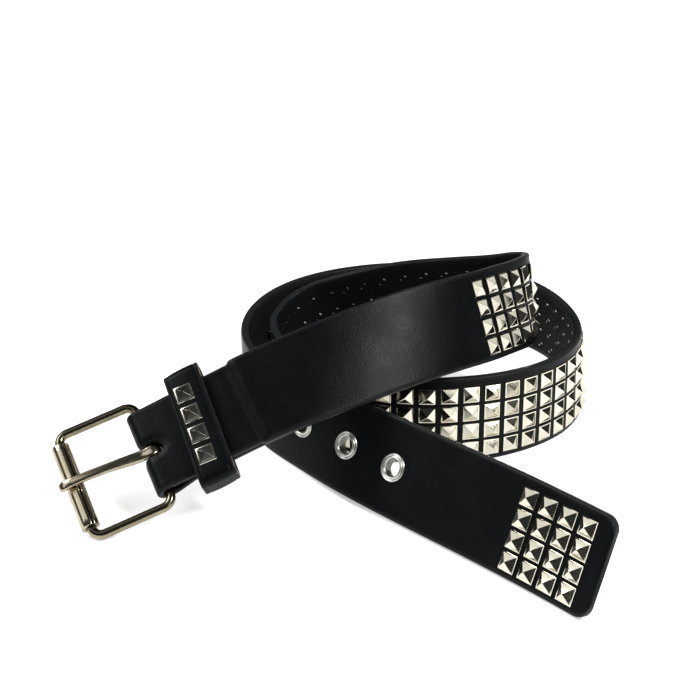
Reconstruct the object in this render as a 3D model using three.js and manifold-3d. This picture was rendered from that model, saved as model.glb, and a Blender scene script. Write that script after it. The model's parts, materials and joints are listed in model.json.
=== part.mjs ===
// A studded leather belt lying unbuckled on a table, coiled on its lower edge.
//
// The strap is one long band of leather. Its path starts at the fold round the buckle's heel bar,
// crosses over the belt's own tail, makes an inner and an outer turn, and ends at the rounded tip.
// Millimetres, +Z up. The origin is on the table, under the middle of the belt's bounding box.

import * as THREE from "three";
import { mergeVertices } from "three/addons/utils/BufferGeometryUtils.js";
import Module from "manifold-3d";

const wasm = await Module();
wasm.setup();

// Strap
const STRAP_LENGTH = 1011;
const STRAP_WIDTH = 38;
const STRAP_THICKNESS = 3.4;
const TIP_CORNER_RADIUS = 5.5;
const PATH_START = { x: -76.8, y: -108.8 };

// Skived end that is folded round the buckle
const SKIVED_WIDTH = 36;
const SKIVED_THICKNESS = 2.6;
const SHOULDER_AT = 40;
const SHOULDER_RUN = 2;
const TAB_LENGTH = 60;
const SLOT_WIDTH = 6;
const SLOT_REACH = 5;

// Pyramid studs
const STUD_SIZE = 7;
const STUD_HEIGHT = 3;
const STUD_RIM = 0.5;
const STUD_PITCH = 9;
const ROW_PITCH = 8.2;
const ROWS = 4;
const ROWS_OFFSET = -0.7;
const FIELD_START = 148.5;
const FIELD_COLUMNS = 58;
const TIP_COLUMNS = 4;
const TIP_MARGIN = 7;

// Eyelets
const EYELET_COUNT = 5;
const EYELET_PITCH = 25.4;
const EYELET_TO_TIP_STUDS = 60;
const EYELET_BORE = 7;
const EYELET_BARREL = 8.4;
const EYELET_FLANGE = 11.4;
const EYELET_RIM = 0.9;
const EYELET_ROLL = 0.4;
const EYELET_CREST = { from: 0.35, to: 0.7 };

// Buckle
const WIRE = 3.7;
const FRAME_LENGTH = 32.2;
const FRAME_HEIGHT = 46;
const FRAME_CORNER = 4.2;
const FRAME_TILT = 4;
const ROLLER_DIAMETER = 7.2;
const ROLLER_LENGTH = 37;
const PRONG_WIDTH = 4.6;
const PRONG_TIP_WIDTH = 4;
const PRONG_THICKNESS = 3;
const PRONG_BEVEL = 0.3;
const PRONG_RING_WALL = 1.3;
const PRONG_OVERHANG = 2;

// Keeper loop
const KEEPER_AT = 21.2;
const KEEPER_SKEW = 5;
const KEEPER_WIDTH = 14.6;
const KEEPER_WALL = 2;
const KEEPER_HEIGHT = 49.4;
const KEEPER_ROOM = 2.2;
const KEEPER_SHIFT = -0.8;
const KEEPER_CORNER = 3.2;
const KEEPER_STUD_AT = -1.3;
const KEEPER_ROW_PITCH = 9;

// Gap between pieces that touch, and running clearance of a pivot
const GAP = 0.3;
const PIVOT_CLEARANCE = 0.3;

// Faces along the strap and round a bar
const FACET = 9;
const PATH_STEP = 1;
const WIRE_SIDES = 10;
const ROUND_SIDES = 20;
const CORNER_FACES = 5;

// The strap's path. at: share of the strap's length from the fold. heading: the way it runs, in
// degrees turned left from +X. lean: how far its top edge falls back from upright, in degrees.
// lift: height of its lower edge above the table, as a share of the strap's width.
const PATH = [
  { at: 0.0, heading: 15, lean: 55, lift: 0.372 },
  { at: 0.058, heading: 18, lean: 49, lift: 0.883 },
  { at: 0.118, heading: 33, lean: 35, lift: 1.1 },
  { at: 0.158, heading: 50, lean: 24, lift: 1 },
  { at: 0.183, heading: 61, lean: 18, lift: 0.9 },
  { at: 0.1985, heading: 95, lean: 4, lift: 0.82 },
  { at: 0.2135, heading: 163, lean: 2, lift: 0.73 },
  { at: 0.2335, heading: 167, lean: 4, lift: 0.66 },
  { at: 0.2585, heading: 167, lean: 5, lift: 0.55 },
  { at: 0.2935, heading: 172, lean: -1, lift: 0.24 },
  { at: 0.3235, heading: 250, lean: -11, lift: 0 },
  { at: 0.3535, heading: 285, lean: -8, lift: 0 },
  { at: 0.389, heading: 317, lean: -4, lift: 0 },
  { at: 0.439, heading: 362, lean: 3, lift: 0 },
  { at: 0.489, heading: 400, lean: 1, lift: 0 },
  { at: 0.534, heading: 444, lean: 4, lift: 0 },
  { at: 0.579, heading: 473, lean: 9, lift: 0 },
  { at: 0.629, heading: 520, lean: 11, lift: 0 },
  { at: 0.689, heading: 563, lean: 9, lift: 0 },
  { at: 0.75, heading: 609, lean: 0, lift: 0 },
  { at: 0.8, heading: 642, lean: 0, lift: 0 },
  { at: 0.84, heading: 673, lean: 10, lift: 0 },
  { at: 0.87, heading: 675, lean: 22, lift: 0 },
  { at: 1.0, heading: 670, lean: 22, lift: 0 },
];

const vec = (x, y, z) => new THREE.Vector3(x, y, z);
const lerp = THREE.MathUtils.lerp;
const smooth = THREE.MathUtils.smoothstep;
const radians = THREE.MathUtils.degToRad;

// A smooth curve through one column of the path table, with no overshoot between even slopes.
function pathValue(column, s) {
  const share = THREE.MathUtils.clamp(s / STRAP_LENGTH, 0, 1);
  const last = PATH.length - 1;
  let i = 0;
  while (i < last - 1 && share > PATH[i + 1].at) i += 1;
  const slope = (k) => (PATH[k + 1][column] - PATH[k][column]) / (PATH[k + 1].at - PATH[k].at);
  const tangent = (k) => {
    if (k === 0) return slope(0);
    if (k === last) return slope(last - 1);
    const before = PATH[k].at - PATH[k - 1].at;
    const after = PATH[k + 1].at - PATH[k].at;
    return (slope(k - 1) * after + slope(k) * before) / (before + after);
  };
  const run = PATH[i + 1].at - PATH[i].at;
  const t = (share - PATH[i].at) / run;
  const fromStart = PATH[i][column] * (1 + 2 * t) * (1 - t) ** 2 + tangent(i) * run * t * (1 - t) ** 2;
  const fromEnd = PATH[i + 1][column] * t * t * (3 - 2 * t) - tangent(i + 1) * run * t * t * (1 - t);
  return fromStart + fromEnd;
}

// Height of the strap's middle line, with its lowest corner at the path's lift.
function middleHeight(s) {
  const lean = radians(pathValue("lean", s));
  const halfRise = (STRAP_WIDTH * Math.cos(lean) + STRAP_THICKNESS * Math.abs(Math.sin(lean))) / 2;
  return Math.max(0, pathValue("lift", s)) * STRAP_WIDTH + halfRise;
}

// Directions at one place on the strap: along it, across it (upwards) and out of its studded face.
function pathDirections(s) {
  const heading = radians(pathValue("heading", s));
  const lean = radians(pathValue("lean", s));
  const half = PATH_STEP / 2;
  const inside = THREE.MathUtils.clamp(s, half, STRAP_LENGTH - half);
  const climb = (middleHeight(inside + half) - middleHeight(inside - half)) / PATH_STEP;
  const level = Math.sqrt(1 - climb * climb);
  const along = vec(Math.cos(heading) * level, Math.sin(heading) * level, climb);
  const upright = vec(-Math.cos(heading) * climb, -Math.sin(heading) * climb, level);
  const sideways = vec(Math.sin(heading), -Math.cos(heading), 0);
  const across = upright.clone().multiplyScalar(Math.cos(lean)).addScaledVector(sideways, -Math.sin(lean));
  const out = sideways.clone().multiplyScalar(Math.cos(lean)).addScaledVector(upright, Math.sin(lean));
  return { along, across, out };
}

// Places along the middle line, a step apart, summed from the headings.
const pathPoints = [vec(PATH_START.x, PATH_START.y, 0)];
for (let s = PATH_STEP / 2; s < STRAP_LENGTH + PATH_STEP; s += PATH_STEP) {
  const next = pathPoints[pathPoints.length - 1].clone();
  next.addScaledVector(pathDirections(s).along, PATH_STEP);
  pathPoints.push(next);
}

function pathFrame(s) {
  const i = Math.min(Math.floor(s / PATH_STEP), pathPoints.length - 2);
  const centre = pathPoints[i].clone().lerp(pathPoints[i + 1], s / PATH_STEP - i);
  centre.z = middleHeight(s);
  return { centre, ...pathDirections(s) };
}

// A point beside a frame: some way along, across and out of it.
function offset(frame, along, across, out) {
  return frame.centre
    .clone()
    .addScaledVector(frame.along, along)
    .addScaledVector(frame.across, across)
    .addScaledVector(frame.out, out);
}

// Turns a shape modelled with x along, y across and z out into the place that a frame gives.
function placement(frame) {
  const matrix = new THREE.Matrix4().makeBasis(frame.along, frame.across, frame.out);
  return matrix.setPosition(frame.centre);
}

function meshGeometry(points, faces) {
  const geometry = new THREE.BufferGeometry();
  geometry.setAttribute("position", new THREE.Float32BufferAttribute(points.flatMap((p) => p.toArray()), 3));
  geometry.setIndex(faces.flat());
  return geometry;
}

function toSolid(geometry) {
  const bare = geometry.clone();
  bare.deleteAttribute("normal");
  bare.deleteAttribute("uv");
  const merged = mergeVertices(bare, 1e-4);
  const vertProperties = new Float32Array(merged.attributes.position.array);
  const triVerts = new Uint32Array(merged.index.array);
  return new wasm.Manifold(new wasm.Mesh({ numProp: 3, vertProperties, triVerts }));
}

function toGeometry(solid) {
  const mesh = solid.getMesh();
  const geometry = new THREE.BufferGeometry();
  geometry.setAttribute("position", new THREE.Float32BufferAttribute(mesh.vertProperties, 3));
  geometry.setIndex(Array.from(mesh.triVerts));
  return geometry;
}

// A closed skin over rings of points. Rings run in order, and each goes round the same way.
function loftRings(rings, closedLoop = false) {
  const size = rings[0].length;
  const points = rings.flat();
  const faces = [];
  const spans = closedLoop ? rings.length : rings.length - 1;
  for (let r = 0; r < spans; r += 1) {
    const here = r * size;
    const next = ((r + 1) % rings.length) * size;
    for (let k = 0; k < size; k += 1) {
      const k2 = (k + 1) % size;
      faces.push([here + k, next + k, next + k2], [here + k, next + k2, here + k2]);
    }
  }
  if (!closedLoop) {
    const lastRing = (rings.length - 1) * size;
    for (let k = 1; k < size - 1; k += 1) {
      faces.push([0, k, k + 1], [lastRing, lastRing + k + 1, lastRing + k]);
    }
  }
  return meshGeometry(points, faces);
}

// The heel bar lies in the fold, behind the skived end's back face.
const skivedMiddle = SKIVED_THICKNESS / 2 - STRAP_THICKNESS / 2;
const foldRadius = WIRE / 2 + GAP + SKIVED_THICKNESS / 2;
const foldFrame = pathFrame(0);
const heelBar = { ...foldFrame, centre: offset(foldFrame, 0, 0, skivedMiddle - foldRadius) };
const tabOffset = SKIVED_THICKNESS + GAP;
const keeperEdges = [KEEPER_AT - KEEPER_WIDTH / 2, KEEPER_AT, KEEPER_AT + KEEPER_WIDTH / 2];
const keeperSlant = Math.tan(radians(KEEPER_SKEW));

const tipStudsStart = STRAP_LENGTH - TIP_MARGIN - (TIP_COLUMNS - 1) * STUD_PITCH - STUD_SIZE;
const rowMiddle = (row) => ROWS_OFFSET + ((ROWS - 1) / 2 - row) * ROW_PITCH;

// One section of the strap: its frame, half width, and how far its faces lie in and out.
function strapSection(s) {
  const full = smooth(s, SHOULDER_AT, SHOULDER_AT + SHOULDER_RUN);
  const intoTip = Math.max(0, s - (STRAP_LENGTH - TIP_CORNER_RADIUS));
  const cornerCut = TIP_CORNER_RADIUS - Math.sqrt(TIP_CORNER_RADIUS ** 2 - intoTip ** 2);
  return {
    frame: pathFrame(s),
    halfWidth: lerp(SKIVED_WIDTH, STRAP_WIDTH, full) / 2 - cornerCut,
    inner: -STRAP_THICKNESS / 2,
    outer: lerp(SKIVED_THICKNESS, STRAP_THICKNESS, full) - STRAP_THICKNESS / 2,
    s,
  };
}

// One section of the folded-back tab, which lies behind the strap and runs the other way.
function tabSection(s) {
  const front = pathFrame(s);
  const opened = 2 * foldRadius - tabOffset;
  const behind = skivedMiddle - tabOffset - opened * (1 - smooth(s, 0, keeperEdges[0]));
  const frame = {
    centre: offset(front, 0, 0, behind),
    along: front.along.clone().negate(),
    across: front.across,
    out: front.out.clone().negate(),
  };
  return foldedSection(frame);
}

function foldedSection(frame) {
  return { frame, halfWidth: SKIVED_WIDTH / 2, inner: -SKIVED_THICKNESS / 2, outer: SKIVED_THICKNESS / 2 };
}

// The direction between two that stand square to each other, at a turn in radians from the first.
function between(first, second, turn) {
  return first.clone().multiplyScalar(Math.cos(turn)).addScaledVector(second, Math.sin(turn));
}

// One section of the fold, at a turn in radians from the strap's front to its tab.
function foldSection(turn) {
  const out = between(heelBar.out, heelBar.along, -turn);
  const along = between(heelBar.along, heelBar.out, turn);
  const centre = heelBar.centre.clone().addScaledVector(out, foldRadius);
  return foldedSection({ centre, along, across: heelBar.across, out });
}

// Places where the tab has a section, from its end to the fold. It closes up just before the keeper.
function tabStations() {
  const openFaces = 4;
  const stations = [TAB_LENGTH, ...keeperEdges.toReversed()];
  for (let k = openFaces - 1; k >= 0; k -= 1) stations.push((keeperEdges[0] * k) / openFaces);
  return stations;
}

// Places where the strap has a section: evenly on plain runs, and at the edges of each stud column.
function strapStations() {
  const stations = [];
  const plainRun = (from, to, step) => {
    const count = Math.max(1, Math.round((to - from) / step));
    for (let k = 0; k < count; k += 1) stations.push(lerp(from, to, k / count));
  };
  const fieldEnd = FIELD_START + (FIELD_COLUMNS - 1) * STUD_PITCH + STUD_SIZE;
  plainRun(0, SHOULDER_AT, FACET);
  plainRun(SHOULDER_AT, SHOULDER_AT + SHOULDER_RUN, SHOULDER_RUN);
  plainRun(SHOULDER_AT + SHOULDER_RUN, FIELD_START, FACET);
  for (let k = 0; k < FIELD_COLUMNS; k += 1) {
    stations.push(FIELD_START + k * STUD_PITCH, FIELD_START + k * STUD_PITCH + STUD_SIZE);
  }
  plainRun(fieldEnd + FACET, STRAP_LENGTH - TIP_CORNER_RADIUS, FACET);
  const tipTurnStep = 18;
  for (let turn = 0; turn < 90; turn += tipTurnStep) {
    stations.push(STRAP_LENGTH - TIP_CORNER_RADIUS * (1 - Math.sin(radians(turn))));
  }
  const tipEnd = 0.97;
  stations.push(STRAP_LENGTH - TIP_CORNER_RADIUS * (1 - tipEnd));
  return stations;
}

// The strap and its long field of studs are one body. The outer face of a section has a point at
// each edge of each stud row, so that a stud's base is a cell of the strap's own mesh.
function strapGeometry() {
  const sections = [];
  for (const s of tabStations()) sections.push(tabSection(s));
  const foldFaces = 6;
  for (let k = 1; k < foldFaces; k += 1) sections.push(foldSection(Math.PI * (1 - k / foldFaces)));
  for (const s of strapStations()) sections.push(strapSection(s));

  const rowEdges = [];
  for (let row = ROWS - 1; row >= 0; row -= 1) {
    rowEdges.push(rowMiddle(row) - STUD_SIZE / 2, rowMiddle(row) + STUD_SIZE / 2);
  }
  const ringSize = rowEdges.length + 4;
  const points = [];
  for (const { frame, halfWidth, inner, outer } of sections) {
    const edges = [-halfWidth, ...rowEdges, halfWidth];
    for (const v of edges) {
      points.push(offset(frame, 0, THREE.MathUtils.clamp(v, -halfWidth, halfWidth), outer));
    }
    points.push(offset(frame, 0, halfWidth, inner), offset(frame, 0, -halfWidth, inner));
  }

  const faces = [];
  const isStudColumn = (section, next) =>
    section.s !== undefined &&
    section.s >= FIELD_START &&
    section.s < FIELD_START + FIELD_COLUMNS * STUD_PITCH &&
    Math.abs(next.s - section.s - STUD_SIZE) < 1e-6;
  for (let r = 0; r < sections.length - 1; r += 1) {
    const studded = isStudColumn(sections[r], sections[r + 1]);
    for (let k = 0; k < ringSize; k += 1) {
      const a = r * ringSize + k;
      const b = r * ringSize + ((k + 1) % ringSize);
      const c = b + ringSize;
      const d = a + ringSize;
      const isRow = k % 2 === 1 && k < rowEdges.length + 1;
      if (studded && isRow) {
        const v = (rowEdges[k - 1] + rowEdges[k]) / 2;
        addFusedStud(points, faces, [a, b, c, d], sections[r].s + STUD_SIZE / 2, v);
      } else {
        faces.push([a, d, c], [a, c, b]);
      }
    }
  }
  const lastRing = (sections.length - 1) * ringSize;
  for (let k = 1; k < ringSize - 1; k += 1) {
    faces.push([0, k, k + 1], [lastRing, lastRing + k + 1, lastRing + k]);
  }
  return meshGeometry(points, faces);
}

// A stud that grows out of one cell of the strap's face: four low walls and a pyramid.
function addFusedStud(points, faces, cell, s, v) {
  const frame = pathFrame(s);
  const half = STUD_SIZE / 2;
  const rim = STRAP_THICKNESS / 2 + STUD_RIM;
  const first = points.length;
  points.push(offset(frame, -half, v - half, rim), offset(frame, -half, v + half, rim));
  points.push(offset(frame, half, v + half, rim), offset(frame, half, v - half, rim));
  points.push(offset(frame, 0, v, STRAP_THICKNESS / 2 + STUD_HEIGHT));
  const apex = first + 4;
  for (let k = 0; k < 4; k += 1) {
    const k2 = (k + 1) % 4;
    faces.push([cell[k2], cell[k], first + k], [cell[k2], first + k, first + k2]);
    faces.push([first + k2, first + k, apex]);
  }
}

// A cutter as long as is needed to pass through a strap and its tab.
function throughCutter(radius, length) {
  const cylinder = new THREE.CylinderGeometry(radius, radius, length, ROUND_SIDES);
  return cylinder.rotateX(Math.PI / 2);
}

// Points of a quarter circle about a corner's centre, in the plane z = 0.
function arcPoints(corner, radius) {
  const points = [];
  for (let k = 0; k <= CORNER_FACES; k += 1) {
    const turn = radians(corner.from + (90 * k) / CORNER_FACES);
    points.push(vec(corner.x + radius * Math.cos(turn), corner.y + radius * Math.sin(turn), 0));
  }
  return points;
}

// The slot in the fold, in which the prong turns. Its two ends are round.
function slotCutter() {
  const reach = SLOT_REACH - SLOT_WIDTH / 2;
  const foldOuter = foldRadius + SKIVED_THICKNESS;
  const depth = 4 * foldOuter;
  const box = new THREE.BoxGeometry(reach + foldOuter, SLOT_WIDTH, depth);
  box.translate((reach - foldOuter) / 2, 0, 0);
  const end = throughCutter(SLOT_WIDTH / 2, depth).translate(reach, 0, 0);
  const cutter = toSolid(box).add(toSolid(end));
  return toSolid(toGeometry(cutter).applyMatrix4(placement(heelBar)));
}

const eyeletPlaces = [];
for (let k = 0; k < EYELET_COUNT; k += 1) {
  eyeletPlaces.push(tipStudsStart - EYELET_TO_TIP_STUDS - (EYELET_COUNT - 1 - k) * EYELET_PITCH);
}

function makeStrap() {
  let solid = toSolid(strapGeometry()).subtract(slotCutter());
  for (const s of eyeletPlaces) {
    const hole = throughCutter(EYELET_BARREL / 2 + GAP, 3 * STRAP_THICKNESS);
    solid = solid.subtract(toSolid(hole.applyMatrix4(placement(pathFrame(s)))));
  }
  return toGeometry(solid);
}

// A loose pyramid stud, with its base on z = 0.
function studGeometry() {
  const half = STUD_SIZE / 2;
  const corners = [vec(-half, -half, 0), vec(half, -half, 0), vec(half, half, 0), vec(-half, half, 0)];
  const points = [...corners, ...corners.map((p) => vec(p.x, p.y, STUD_RIM)), vec(0, 0, STUD_HEIGHT)];
  const faces = [[0, 2, 1], [0, 3, 2]];
  for (let k = 0; k < 4; k += 1) {
    const k2 = (k + 1) % 4;
    faces.push([k, k2, k2 + 4], [k, k2 + 4, k + 4], [k + 4, k2 + 4, 8]);
  }
  return meshGeometry(points, faces);
}

// An eyelet: a barrel through the strap with a rolled flange over each face.
function eyeletGeometry() {
  const bore = EYELET_BORE / 2;
  const barrel = EYELET_BARREL / 2;
  const flange = EYELET_FLANGE / 2;
  const face = STRAP_THICKNESS / 2 + GAP;
  const top = face + EYELET_RIM;
  const back = face + EYELET_RIM / 2;
  const profile = [
    [bore, face],
    [bore, -back],
    [flange - EYELET_ROLL, -back],
    [flange, -face],
    [barrel, -face],
    [barrel, face],
    [flange, face],
    [lerp(bore, flange, EYELET_CREST.to), top],
    [lerp(bore, flange, EYELET_CREST.from), top],
    [bore, face],
  ].map(([r, h]) => new THREE.Vector2(r, h));
  return new THREE.LatheGeometry(profile, ROUND_SIDES).rotateX(Math.PI / 2);
}

// The frame's own plane, turned about the heel bar. Its length runs from the heel bar to the roller.
const frameTurn = radians(FRAME_TILT);
const buckleFrame = {
  centre: heelBar.centre,
  along: between(heelBar.along, heelBar.out, -frameTurn).negate(),
  across: heelBar.across.clone().negate(),
  out: between(heelBar.out, heelBar.along, frameTurn),
};

// A round bar swept along a closed loop in its own plane.
function wireLoop(outline) {
  const rings = outline.map((point, i) => {
    const before = outline[(i + outline.length - 1) % outline.length];
    const after = outline[(i + 1) % outline.length];
    const tangent = after.clone().sub(before).normalize();
    const side = vec(tangent.y, -tangent.x, 0);
    const ring = [];
    for (let k = 0; k < WIRE_SIDES; k += 1) {
      const turn = (2 * Math.PI * k) / WIRE_SIDES;
      const p = point.clone().addScaledVector(side, (Math.cos(turn) * WIRE) / 2);
      ring.push(p.setZ(p.z + (Math.sin(turn) * WIRE) / 2));
    }
    return ring;
  });
  return loftRings(rings, true);
}

function buckleFrameGeometry() {
  const r = FRAME_CORNER;
  const y = FRAME_HEIGHT / 2 - r;
  const corners = [
    { x: FRAME_LENGTH - r, y, from: 0 },
    { x: r, y, from: 90 },
    { x: r, y: -y, from: 180 },
    { x: FRAME_LENGTH - r, y: -y, from: 270 },
  ];
  return wireLoop(corners.flatMap((corner) => arcPoints(corner, r)));
}

function rollerGeometry() {
  const inner = WIRE / 2 + PIVOT_CLEARANCE;
  const outer = ROLLER_DIAMETER / 2;
  const half = ROLLER_LENGTH / 2;
  const profile = [[inner, -half], [outer, -half], [outer, half], [inner, half], [inner, -half]];
  const ring = new THREE.LatheGeometry(profile.map(([r, h]) => new THREE.Vector2(r, h)), ROUND_SIDES);
  return ring.translate(FRAME_LENGTH, 0, 0);
}

// Sections of the prong's bar. at: share of the way from ring to roller. low: underside as a share
// of the height at which it rests on the roller. thick and wide: shares of the prong's own sizes.
const PRONG_SECTIONS = [
  { at: 0.06, low: 0, thick: 1, wide: 1 },
  { at: 0.25, low: 0.2, thick: 1, wide: 0.96 },
  { at: 0.6, low: 0.75, thick: 0.87, wide: 0.76 },
  { at: 1, low: 1, thick: 0.8, wide: 0.84 },
];

// Sections past the roller. at: share of the way from the roller's middle to the tip's end.
const PRONG_TIP_SECTIONS = [
  { at: 0.65, low: 0.86, thick: 0.7, wide: 1 },
  { at: 1, low: 0.62, thick: 0.53, wide: 0.6 },
];

// The prong: a ring round the heel bar and a tapered bar that rests on the roller.
function prongGeometry() {
  const ringInner = WIRE / 2 + PIVOT_CLEARANCE;
  const ringOuter = ringInner + PRONG_RING_WALL;
  const restHeight = ROLLER_DIAMETER / 2 + GAP;
  const tipLength = FRAME_LENGTH + ROLLER_DIAMETER / 2 + PRONG_OVERHANG;
  const ringProfile = [
    [ringInner, -PRONG_WIDTH / 2],
    [ringOuter, -PRONG_WIDTH / 2],
    [ringOuter, PRONG_WIDTH / 2],
    [ringInner, PRONG_WIDTH / 2],
    [ringInner, -PRONG_WIDTH / 2],
  ].map(([r, h]) => new THREE.Vector2(r, h));
  const ring = new THREE.LatheGeometry(ringProfile, ROUND_SIDES);
  const rings = PRONG_SECTIONS.map(({ at, low, thick, wide }) =>
    barSection(FRAME_LENGTH * at, restHeight * low, PRONG_THICKNESS * thick, PRONG_WIDTH * wide),
  );
  for (const { at, low, thick, wide } of PRONG_TIP_SECTIONS) {
    const x = lerp(FRAME_LENGTH, tipLength, at);
    rings.push(barSection(x, restHeight * low, PRONG_THICKNESS * thick, PRONG_TIP_WIDTH * wide));
  }
  return toGeometry(toSolid(ring).add(toSolid(loftRings(rings))));
}

// An eight-sided section of the prong's bar at x, with its underside at the height low. Its corners
// are cut off by a share of its half width and of its thickness.
function barSection(x, low, thick, wide) {
  const near = PRONG_BEVEL;
  const far = 1 - PRONG_BEVEL;
  const outline = [[-far, 0], [far, 0], [1, near], [1, far], [far, 1], [-far, 1], [-1, far], [-1, near]];
  return outline.map(([y, z]) => vec(x, (y * wide) / 2, low + z * thick)).reverse();
}

// The keeper is a closed band of leather round the strap and its tab, and follows the strap's path.
const keeperInnerFront = skivedMiddle + SKIVED_THICKNESS / 2 + KEEPER_ROOM;
const keeperInnerBack = skivedMiddle - tabOffset - SKIVED_THICKNESS / 2 - GAP;

// Turns a frame about its out direction, as the keeper sits askew on the strap.
function slant(frame) {
  const turn = -radians(KEEPER_SKEW);
  frame.along.applyAxisAngle(frame.out, turn);
  frame.across.applyAxisAngle(frame.out, turn);
}

// A rectangle with round corners in a plane across the strap. x is across it and y is out of it.
// The outline is the band's inner face, grown by a distance.
function keeperOutline(grow) {
  const radius = KEEPER_CORNER - KEEPER_WALL + grow;
  const x = KEEPER_HEIGHT / 2 - KEEPER_WALL + grow - radius;
  const front = keeperInnerFront + grow - radius;
  const back = keeperInnerBack - grow + radius;
  const corners = [
    { x, y: front, from: 0 },
    { x: -x, y: front, from: 90 },
    { x: -x, y: back, from: 180 },
    { x, y: back, from: 270 },
  ];
  return corners.flatMap((corner) => arcPoints(corner, radius));
}

function keeperGeometry() {
  const outer = keeperOutline(KEEPER_WALL);
  const inner = keeperOutline(0);
  const place = (s, { x, y }) => offset(pathFrame(s + x * keeperSlant), 0, x + KEEPER_SHIFT, y);
  const rings = outer.map((point, i) => [
    ...keeperEdges.map((s) => place(s, point)),
    ...keeperEdges.map((s) => place(s, inner[i])).reverse(),
  ]);
  return loftRings(rings, true);
}

const blackLeather = new THREE.MeshStandardMaterial({ color: 0x1c2022, roughness: 0.55, metalness: 0 });
const nickel = new THREE.MeshStandardMaterial({ color: 0xd2d0c6, roughness: 0.25, metalness: 1 });
const gunmetal = new THREE.MeshStandardMaterial({ color: 0x77746c, roughness: 0.35, metalness: 1 });
const antiqueBrass = new THREE.MeshStandardMaterial({ color: 0x968e7c, roughness: 0.3, metalness: 1 });

const belt = new THREE.Group();

function addPiece(name, geometry, material, frame) {
  const mesh = new THREE.Mesh(geometry, material);
  mesh.name = name;
  if (frame) {
    mesh.position.copy(frame.centre);
    mesh.quaternion.setFromRotationMatrix(placement(frame));
  }
  belt.add(mesh);
}

addPiece("strap", makeStrap(), blackLeather);

for (let k = 0; k < EYELET_COUNT; k += 1) {
  addPiece(`eyelet_${k + 1}`, eyeletGeometry(), nickel, pathFrame(eyeletPlaces[k]));
}

for (let column = 0; column < TIP_COLUMNS; column += 1) {
  for (let row = 0; row < ROWS; row += 1) {
    const frame = pathFrame(tipStudsStart + column * STUD_PITCH + STUD_SIZE / 2);
    frame.centre = offset(frame, 0, rowMiddle(row), STRAP_THICKNESS / 2 + GAP);
    addPiece(`tip_stud_${column * ROWS + row + 1}`, studGeometry(), nickel, frame);
  }
}

addPiece("keeper", keeperGeometry(), blackLeather);
for (let row = 0; row < ROWS; row += 1) {
  const v = ((ROWS - 1) / 2 - row) * KEEPER_ROW_PITCH;
  const frame = pathFrame(KEEPER_AT + KEEPER_STUD_AT + v * keeperSlant);
  frame.centre = offset(frame, 0, v + KEEPER_SHIFT, keeperInnerFront + KEEPER_WALL + GAP);
  slant(frame);
  addPiece(`keeper_stud_${row + 1}`, studGeometry(), gunmetal, frame);
}

addPiece("buckle_frame", buckleFrameGeometry(), antiqueBrass, buckleFrame);
addPiece("roller", rollerGeometry(), antiqueBrass, buckleFrame);
addPiece("prong", prongGeometry(), antiqueBrass, buckleFrame);

// The origin goes under the middle of the whole belt, on the table.
belt.updateMatrixWorld(true);
const bounds = new THREE.Box3().setFromObject(belt, true);
const footprint = bounds.getCenter(vec(0, 0, 0));
belt.position.set(-footprint.x, -footprint.y, -bounds.min.z);

export default belt;
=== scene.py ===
"""A studded leather belt, unbuckled and coiled on its lower edge on a pale table.

The strap's path and the fittings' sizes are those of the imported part, so that each piece made here
lies where its solid does. The heel bar, which the buckle swings about, ties the two together.
"""
import json
import math
import random

import bpy
from mathutils import Matrix, Vector, noise


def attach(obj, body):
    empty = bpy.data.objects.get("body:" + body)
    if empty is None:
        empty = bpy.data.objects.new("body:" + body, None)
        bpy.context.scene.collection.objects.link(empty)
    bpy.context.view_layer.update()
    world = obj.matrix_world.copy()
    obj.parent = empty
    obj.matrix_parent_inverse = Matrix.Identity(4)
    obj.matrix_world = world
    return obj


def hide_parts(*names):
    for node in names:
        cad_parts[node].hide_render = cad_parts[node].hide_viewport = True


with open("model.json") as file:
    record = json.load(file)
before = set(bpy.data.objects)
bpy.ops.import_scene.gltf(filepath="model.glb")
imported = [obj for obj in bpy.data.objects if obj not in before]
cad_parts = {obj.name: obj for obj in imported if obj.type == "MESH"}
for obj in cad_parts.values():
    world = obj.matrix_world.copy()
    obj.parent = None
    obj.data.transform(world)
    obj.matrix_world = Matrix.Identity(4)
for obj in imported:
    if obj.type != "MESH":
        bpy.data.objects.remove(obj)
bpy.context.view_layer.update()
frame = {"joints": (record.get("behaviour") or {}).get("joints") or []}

MM = 0.001

# Strap
STRAP_LENGTH = 1011 * MM
STRAP_WIDTH = 38 * MM
STRAP_THICKNESS = 3.4 * MM
TIP_CORNER_RADIUS = 5.5 * MM
EDGE_RADIUS = 0.9 * MM
PATH_STEP = 1 * MM

# Skived end, folded round the heel bar
SKIVED_WIDTH = 36 * MM
SKIVED_THICKNESS = 2.6 * MM
SHOULDER_AT = 40 * MM
SHOULDER_RUN = 2 * MM
TAB_LENGTH = 60 * MM
SLOT_WIDTH = 6 * MM
SLOT_REACH = 5 * MM

# Pyramid studs
STUD_SIZE = 7 * MM
STUD_RIM = 0.5 * MM
STUD_PITCH = 9 * MM
ROW_PITCH = 8.2 * MM
ROWS = 4
ROWS_OFFSET = -0.7 * MM
FIELD_START = 148.5 * MM
FIELD_COLUMNS = 58
TIP_COLUMNS = 4
TIP_MARGIN = 7 * MM

# Eyelets
EYELET_COUNT = 5
EYELET_PITCH = 25.4 * MM
EYELET_TO_TIP_STUDS = 60 * MM
EYELET_BARREL = 8.4 * MM

# Buckle, its tilt in degrees
WIRE = 3.7 * MM
FRAME_LENGTH = 32.2 * MM
FRAME_HEIGHT = 46 * MM
FRAME_CORNER = 4.2 * MM
FRAME_TILT = 4
ROLLER_DIAMETER = 7.2 * MM
ROLLER_LENGTH = 37 * MM
PRONG_WIDTH = 4.6 * MM
PRONG_RING_WALL = 1.3 * MM

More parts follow.
